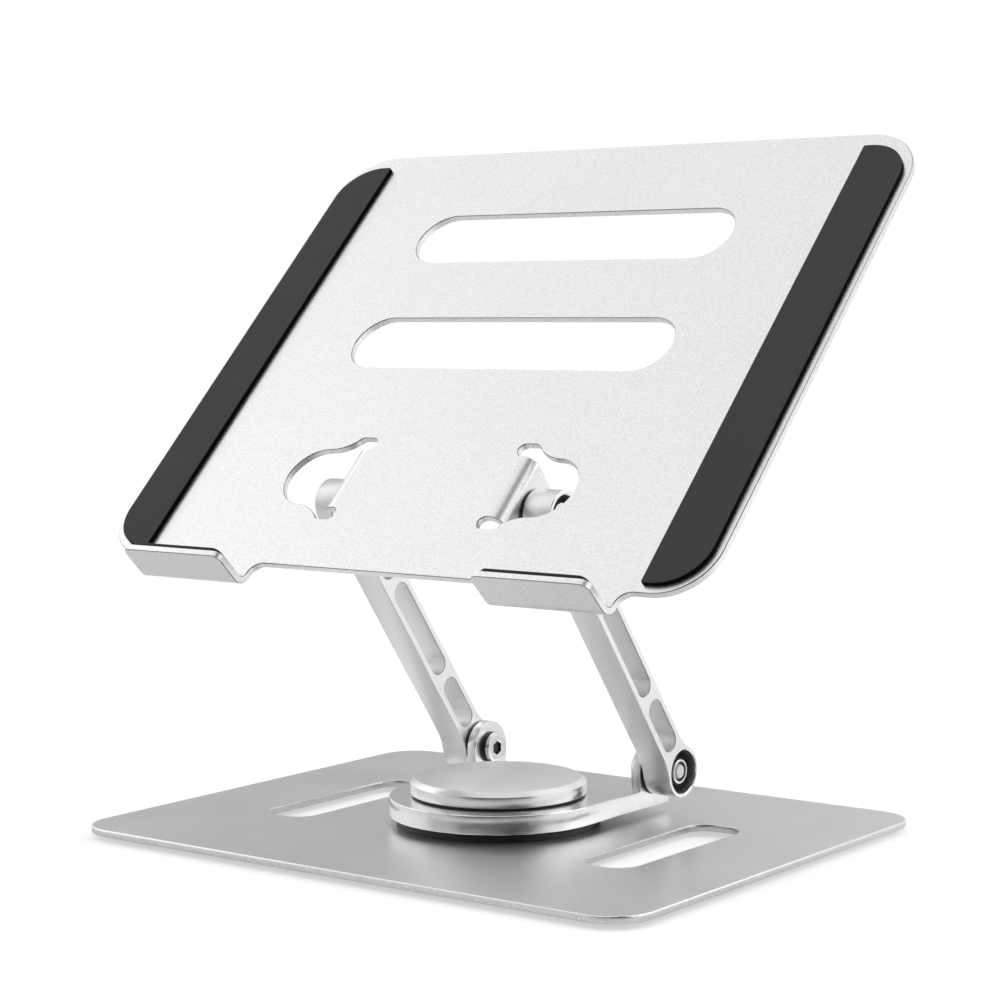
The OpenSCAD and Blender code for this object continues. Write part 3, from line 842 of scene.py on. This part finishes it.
EAR_ARC = (EAR_BEND_R + SHEET_T / 2) * math.pi / 2
LIP_ARC = (LIP_BEND_R + SHEET_T / 2) * math.pi / 2
EAR_OUT = box_mm("swivel_bracket")[1].x
EAR_BEND_X = EAR_OUT - EAR_BEND_R - SHEET_T
EAR_STRAIGHT_X = EAR_BEND_X + EAR_ARC
EAR_HOLE_X = EAR_STRAIGHT_X + EAR_DEPTH - EAR_BEND_R - SHEET_T
NOTCH_DY = EAR_ROOT + NOTCH_R
NOTCH_IN_X = EAR_BEND_X - NOTCH_IN
NOTCH_OUT_X = EAR_BEND_X + NOTCH_OUT

TRAY_PLACE = (Matrix.Translation(UPPER_HINGE) @ Matrix.Rotation(TRAY_TILT, 4, "X")
              @ Matrix.Translation((0, -EAR_W, EAR_DEPTH)))


def tray_edge():
    """Outline of the flat blank, with the tabs that are bent up into lips."""
    half = box_mm("tray_plate")[1].x
    bottom = -LIP_TAB - LIP_ARC - (LIP_H - LIP_BEND_R)
    inner, outer = LIP_X - LIP_W / 2, LIP_X + LIP_W / 2
    right = [
        (inner, 0, LIP_TAB), (inner, bottom, LIP_CORNER_R), (outer, bottom, LIP_CORNER_R),
        (outer, 0, LIP_TAB), (half, 0, TRAY_BOTTOM_R), (half, TRAY_H, TRAY_TOP_R),
    ]
    left = [(-x, y, r) for x, y, r in reversed(right)]
    return rounded(right + left)


def tongue_half_width(x):
    """Half of the width of the tongue that becomes an ear, on the flat blank."""
    if x <= EAR_STRAIGHT_X:
        return EAR_ROOT
    if x <= EAR_HOLE_X:
        share = (x - EAR_STRAIGHT_X) / (EAR_HOLE_X - EAR_STRAIGHT_X)
        return EAR_ROOT + (EAR_R - EAR_ROOT) * share
    return math.sqrt(max(0, EAR_R ** 2 - (x - EAR_HOLE_X) ** 2))


def ear_cut():
    """Cut around the right-hand tongue: two notches and a lobe, then back along the tongue."""
    lobe = Vector((LOBE_X, 0))
    notch = Vector((NOTCH_OUT_X, NOTCH_DY))
    # The blend is an arc that touches both the notch and the lobe from outside
    line = lobe - notch
    a, b, d = NOTCH_R + NOTCH_BLEND_R, LOBE_R + NOTCH_BLEND_R, line.length
    along = (a * a - b * b + d * d) / (2 * d)
    across = math.sqrt(a * a - along * along)
    blend = notch + line / d * along + Vector((-line.y, line.x)) / d * across
    to_notch = math.atan2(*(notch - blend).yx)
    to_lobe = math.atan2(*(lobe - blend).yx)
    from_notch = math.atan2(*(blend - notch).yx)
    from_lobe = math.atan2(*(blend - lobe).yx)
    up = math.pi / 2
    upper = arc((NOTCH_IN_X, NOTCH_DY), NOTCH_R, 3 * up, up)
    upper += arc((NOTCH_OUT_X, NOTCH_DY), NOTCH_R, up, from_notch)[:-1]
    turn = math.remainder(to_lobe - to_notch, 4 * up)
    upper += arc(blend, NOTCH_BLEND_R, to_notch, to_notch + turn)[:-1]
    upper += arc((LOBE_X, 0), LOBE_R, from_lobe, 0)
    lower = [(x, -y) for x, y in reversed(upper[:-1])]
    tongue = [(EAR_STRAIGHT_X, -EAR_ROOT)]
    tongue += arc((EAR_HOLE_X, 0), EAR_R, -up, up)
    tongue += [(EAR_STRAIGHT_X, EAR_ROOT)]
    return [(x, EAR_W + y) for x, y in upper + lower + tongue]


def cut_across(bm, point, normal):
    """Divides the faces of the sheet along a plane."""
    geometry = list(bm.verts) + list(bm.edges) + list(bm.faces)
    bmesh.ops.bisect_plane(bm, geom=geometry, dist=SNAP, plane_co=point, plane_no=normal)


# A line on either side of a bend holds the flat sheet flat
BEND_SUPPORT = 0.4
# Points on the very edge of a tongue still bend with it
TONGUE_SLACK = 0.3


def bend_lines(start, length):
    """Distances at which the sheet is divided so that it bends smoothly."""
    steps = [start + length * i / BEND_STEPS for i in range(BEND_STEPS + 1)]
    return [start - BEND_SUPPORT] + steps + [start + length + BEND_SUPPORT]


def bent(distance, r_in, r_axis):
    """Where a point of the sheet goes on a quarter bend: its two offsets from the bend's axis
    while it turns, and the straight way that is left after the bend. distance is how far it
    lies past the bend line, and r_axis how far from the axis."""
    r_neutral = r_in + SHEET_T / 2
    angle = min(distance / r_neutral, math.pi / 2)
    beyond = max(0, distance - r_neutral * math.pi / 2)
    return r_axis * math.sin(angle), r_axis * math.cos(angle), beyond


def bend_tray(bm):
    """Bends the lips forwards and the ears backwards out of the flat blank."""
    for w in bend_lines(LIP_TAB, LIP_ARC):
        cut_across(bm, (0, -w, 0), (0, 1, 0))
    for x in bend_lines(EAR_BEND_X, EAR_ARC):
        cut_across(bm, (x, 0, 0), (1, 0, 0))
        cut_across(bm, (-x, 0, 0), (1, 0, 0))
    for vert in bm.verts:
        x, w, h = vert.co
        on_tongue = (EAR_BEND_X < abs(x) < EAR_HOLE_X + EAR_R + TONGUE_SLACK
                     and abs(w - EAR_W) < tongue_half_width(abs(x)) + TONGUE_SLACK)
        if w < -LIP_TAB:
            out, up, beyond = bent(-LIP_TAB - w, LIP_BEND_R, LIP_BEND_R - h)
            vert.co = (x, -LIP_TAB - out, LIP_BEND_R - up + beyond)
        elif on_tongue:
            axis_h = -SHEET_T - EAR_BEND_R
            out, up, beyond = bent(abs(x) - EAR_BEND_X, EAR_BEND_R, h - axis_h)
            vert.co = (math.copysign(EAR_BEND_X + out, x), w, axis_h + up - beyond)


def make_tray():
    edge = chamfer(TRAY_EDGE)
    walls = [wall(tray_edge(), -SHEET_T, 0, edge)]
    for l, w, y in TRAY_SLOTS:
        outline = round_rect(-l / 2, y - w / 2, l / 2, y + w / 2, w / 2 - SLOT_STRAIGHT)
        walls.append(wall(outline, -SHEET_T, 0, edge, hole=True))
    for mirror in (False, True):
        cut = mirrored(ear_cut()) if mirror else ear_cut()
        walls.append(wall(cut, -SHEET_T, 0, edge, hole=True))
        pin_x = -EAR_HOLE_X if mirror else EAR_HOLE_X
        walls.append(round_hole((pin_x, EAR_W), [(HINGE_HOLE_R, 0), (HINGE_HOLE_R, -SHEET_T)]))
    # Every bevel of the sheet takes a dark line of painted shade
    bm = plate(walls, [SHADE_LINE] * len(walls))
    bend_tray(bm)
    placed(bm, TRAY_PLACE)
    piece("tray_sheet", bm, SHEET_METAL, "tray", ["tray_plate"])


PAD_IN_X = 112
PAD_T = 1.8
PAD_R = 17
PAD_IN_R = 0.8
PAD_EDGE_R = 0.35
PAD_FOOT_CHAMFER = 0.02
# Distances of a pad from the tray's outer, bottom and top edges
PAD_MARGINS = (2.9, 3, 7.8)


def make_side_pads():
    outer, bottom, top = PAD_MARGINS
    x0, x1 = PAD_IN_X, box_mm("tray_plate")[1].x - outer
    y0, y1 = bottom, TRAY_H - top
    outline = rounded([(x0, y0, PAD_IN_R), (x1, y0, PAD_R),
                       (x1, y1, PAD_R), (x0, y1, PAD_IN_R)])
    for side, points in (("right", outline), ("left", mirrored(outline))):
        bm = plate([wall(points, 0, PAD_T, rounding(PAD_EDGE_R, 3), chamfer(PAD_FOOT_CHAMFER))])
        paint_shade_on_walls(bm)
        placed(bm, TRAY_PLACE)
        piece(f"{side}_side_pad", bm, (PAD_TOP, PAD_WALL_SHADE), "tray", [f"{side}_pad"])


def paint_shade_on_walls(bm):
    """Steep faces take the wall material, painted near black as shade, and all others the top material."""
    bmesh.ops.recalc_face_normals(bm, faces=bm.faces)
    for face in bm.faces:
        face.material_index = EDGE if abs(face.normal.z) < STEEP else FACE


STRIP_T = 1.5
STRIP_TOP_GAP = 0.4
STRIP_SIDE_GAP = 2.2
STRIP_FOOT_R = 0.5
STRIP_EDGE_R = 0.25


def make_lip_strips():
    top_r = LIP_CORNER_R - STRIP_TOP_GAP
    x0, x1 = LIP_X - LIP_W / 2 + STRIP_SIDE_GAP, LIP_X + LIP_W / 2 - STRIP_SIDE_GAP
    y0, y1 = LIP_BEND_R, LIP_H - STRIP_TOP_GAP
    outline = rounded([(x0, y0, STRIP_FOOT_R), (x1, y0, STRIP_FOOT_R),
                       (x1, y1, top_r), (x0, y1, top_r)])
    stand = (Matrix.Translation((0, -LIP_TAB - LIP_BEND_R + STRIP_T, 0))
             @ Matrix.Rotation(math.pi / 2, 4, "X"))
    for side, points in (("right", outline), ("left", mirrored(outline))):
        bm = plate([wall(points, 0, STRIP_T, rounding(STRIP_EDGE_R, 3))])
        placed(bm, TRAY_PLACE @ stand)
        piece(f"{side}_strip", bm, (STRIP, STRIP), "tray", [f"{side}_lip_strip"])


# ---------- stage ----------

def dress_hidden_nodes():
    """CAD nodes that stay as they are get their real material."""
    looks = {"swivel_spindle": TURNED, "cap_screws": TURNED, "swivel_bush": NATURAL}
    for node, material in looks.items():
        mesh = frame["nodes"][node].data
        mesh.materials.clear()
        mesh.materials.append(material)


UP = (0, 0, 1)
LEFT = (-0.99, -0.12, 0.0)
RIGHT_BACK = (0.75, 0.66, 0.0)
FRONT = (0.6, -0.8, 0.05)
# Dimmer patches: the right ear's bend reflects the first, the arms' backs the second
OVER_RIGHT_EAR = (0.55, -0.35, 0.76)
OVER_BACK = (0.0, 0.62, 0.78)
FLOOR_SIZE = 12
FLOOR_ALBEDO = 0.72
FLOOR_LIFT = 0.5
BACKDROP_LEVEL = 1.02


def glowing(nodes, links, bsdf):
    """A shader with some light of its own, and the socket that sets the light's strength."""
    glow = nodes.new("ShaderNodeEmission")
    both = nodes.new("ShaderNodeAddShader")
    links.new(bsdf.outputs[0], both.inputs[0])
    links.new(glow.outputs[0], both.inputs[1])
    return both.outputs[0], glow.inputs["Strength"]


def make_floor():
    """White to the camera. Other light sees it grey, and brighter at the right and behind."""
    bpy.ops.mesh.primitive_plane_add(size=FLOOR_SIZE, location=(0, 0, 0))
    floor = bpy.context.object
    floor.name = "studio_floor"
    material, nodes, links, bsdf = shader("studio_white", Roughness=0.9, Specular_IOR_Level=0.0)
    bsdf.inputs["Base Color"].default_value = (*grey(FLOOR_ALBEDO), 1)
    white, lift = glowing(nodes, links, bsdf)
    lift.default_value = FLOOR_LIFT
    dim, bounce = glowing(nodes, links, bsdf)
    links.new(lobe(nodes, links, RIGHT_BACK, 0.0, 0.4, 0.08, 0.4, "Object"), bounce)
    seen_by_camera(nodes, links, white, dim, "Material Output")
    floor.data.materials.append(material)


def lobe(nodes, links, direction, start, end, low, high, coordinates="Generated"):
    """Value that ramps from low to high along a direction, by the dot product with it."""
    where = nodes.new("ShaderNodeTexCoord")
    dot = nodes.new("ShaderNodeVectorMath")
    dot.operation = "DOT_PRODUCT"
    dot.inputs[1].default_value = Vector(direction).normalized()
    links.new(where.outputs[coordinates], dot.inputs[0])
    ramp = nodes.new("ShaderNodeMapRange")
    ramp.interpolation_type = "SMOOTHERSTEP"
    ramp.inputs["From Min"].default_value = start
    ramp.inputs["From Max"].default_value = end
    ramp.inputs["To Min"].default_value = low
    ramp.inputs["To Max"].default_value = high
    links.new(dot.outputs["Value"], ramp.inputs["Value"])
    return ramp.outputs["Result"]


def add(nodes, links, a, b):
    node = nodes.new("ShaderNodeMath")
    node.operation = "ADD"
    links.new(a, node.inputs[0])
    links.new(b, node.inputs[1])
    return node.outputs[0]


def seen_by_camera(nodes, links, seen, lighting, output):
    """The camera sees one shader, and all other light comes from the other."""
    path = nodes.new("ShaderNodeLightPath")
    mix = nodes.new("ShaderNodeMixShader")
    links.new(path.outputs["Is Camera Ray"], mix.inputs["Fac"])
    links.new(lighting, mix.inputs[1])
    links.new(seen, mix.inputs[2])
    links.new(mix.outputs[0], nodes[output].inputs["Surface"])


def make_world():
    """White to the camera. Reflections see a studio that is bright above, at the left and
    behind on the right, and dark in front."""
    world = bpy.data.worlds.new("studio")
    bpy.context.scene.world = world
    world.use_nodes = True
    nodes, links = world.node_tree.nodes, world.node_tree.links
    backdrop = nodes["Background"]
    backdrop.inputs["Color"].default_value = (1, 1, 1, 1)
    backdrop.inputs["Strength"].default_value = BACKDROP_LEVEL
    light = nodes.new("ShaderNodeBackground")
    # After a lobe's direction: where its ramp starts and ends, and the levels outside and inside
    level = lobe(nodes, links, UP, 0.2, 0.78, 0.50, 1.17)
    level = add(nodes, links, level, lobe(nodes, links, LEFT, 0.55, 0.88, 0, 0.72))
    level = add(nodes, links, level, lobe(nodes, links, RIGHT_BACK, -0.02, 0.5, 0, 0.55))
    front = lobe(nodes, links, FRONT, 0.52, 0.84, 0, 1)
    low = lobe(nodes, links, UP, 0.34, 0.70, 1, 0)
    shade = times(nodes, links, front, low)
    level = times(nodes, links, level, spread(nodes, links, shade, 1, 0.03, start=0, end=1))
    level = times(nodes, links, level, lobe(nodes, links, OVER_RIGHT_EAR, 0.88, 0.97, 1, 0.02))
    level = times(nodes, links, level, lobe(nodes, links, OVER_BACK, 0.80, 0.95, 1, 0.7))
    links.new(level, light.inputs["Strength"])
    seen_by_camera(nodes, links, backdrop.outputs[0], light.outputs[0], "World Output")


SOFTBOX_PLACE = (1.1, 1.0, 1.0)
SOFTBOX_AIM = (0, 0, 0.1)
SOFTBOX_SIZE = 1.2
SOFTBOX_WATTS = 3


def make_softbox():
    light = bpy.data.lights.new("key_softbox", "AREA")
    light.shape = "RECTANGLE"
    light.size = light.size_y = SOFTBOX_SIZE
    light.energy = SOFTBOX_WATTS
    obj = bpy.data.objects.new("key_softbox", light)
    obj.location = SOFTBOX_PLACE
    aim = Vector(SOFTBOX_AIM) - Vector(SOFTBOX_PLACE)
    obj.rotation_euler = aim.to_track_quat("-Z", "Y").to_euler()
    obj.visible_camera = False
    bpy.context.scene.collection.objects.link(obj)


CAMERA_PLACE = (0.5625, -0.7396, 0.2002)
CAMERA_TURN = math.radians(37.179)
CAMERA_PITCH = math.radians(4.593)
CAMERA_ROLL = math.radians(-0.372)
SENSOR_W = 36
FOCAL_LENGTH = 90.13


def make_camera():
    camera = bpy.data.cameras.new("photo_camera")
    camera.sensor_width = SENSOR_W
    camera.lens = FOCAL_LENGTH
    camera.clip_start = 0.05
    obj = bpy.data.objects.new("photo_camera", camera)
    obj.matrix_world = (Matrix.Translation(CAMERA_PLACE)
                        @ Matrix.Rotation(CAMERA_TURN, 4, "Z")
                        @ Matrix.Rotation(math.pi / 2 - CAMERA_PITCH, 4, "X")
                        @ Matrix.Rotation(CAMERA_ROLL, 4, "Z"))
    bpy.context.scene.collection.objects.link(obj)
    bpy.context.scene.camera = obj


make_camera()
make_base_plate()
make_feet()
make_thrust_washers()
make_cap()
make_bracket()
HINGES = (("lower", LOWER_HINGE, "swivel"), ("upper", UPPER_HINGE, "upper_pins"))
for end, hinge, body in HINGES:
    make_hinge_bolts(end, hinge, body)
    make_hinge_washers(end, hinge, body, "head_washers", "head_rings")
    make_hinge_washers(end, hinge, body, "friction_washers", "friction_rings")
    make_hinge_washers(end, hinge, body, "nut_washers", "nut_rings")
    make_lock_nuts(end, hinge, body)
make_arms()
make_tray()
make_side_pads()
make_lip_strips()
dress_hidden_nodes()
make_floor()
make_world()
make_softbox()
bpy.context.scene.view_settings.view_transform = "Standard"
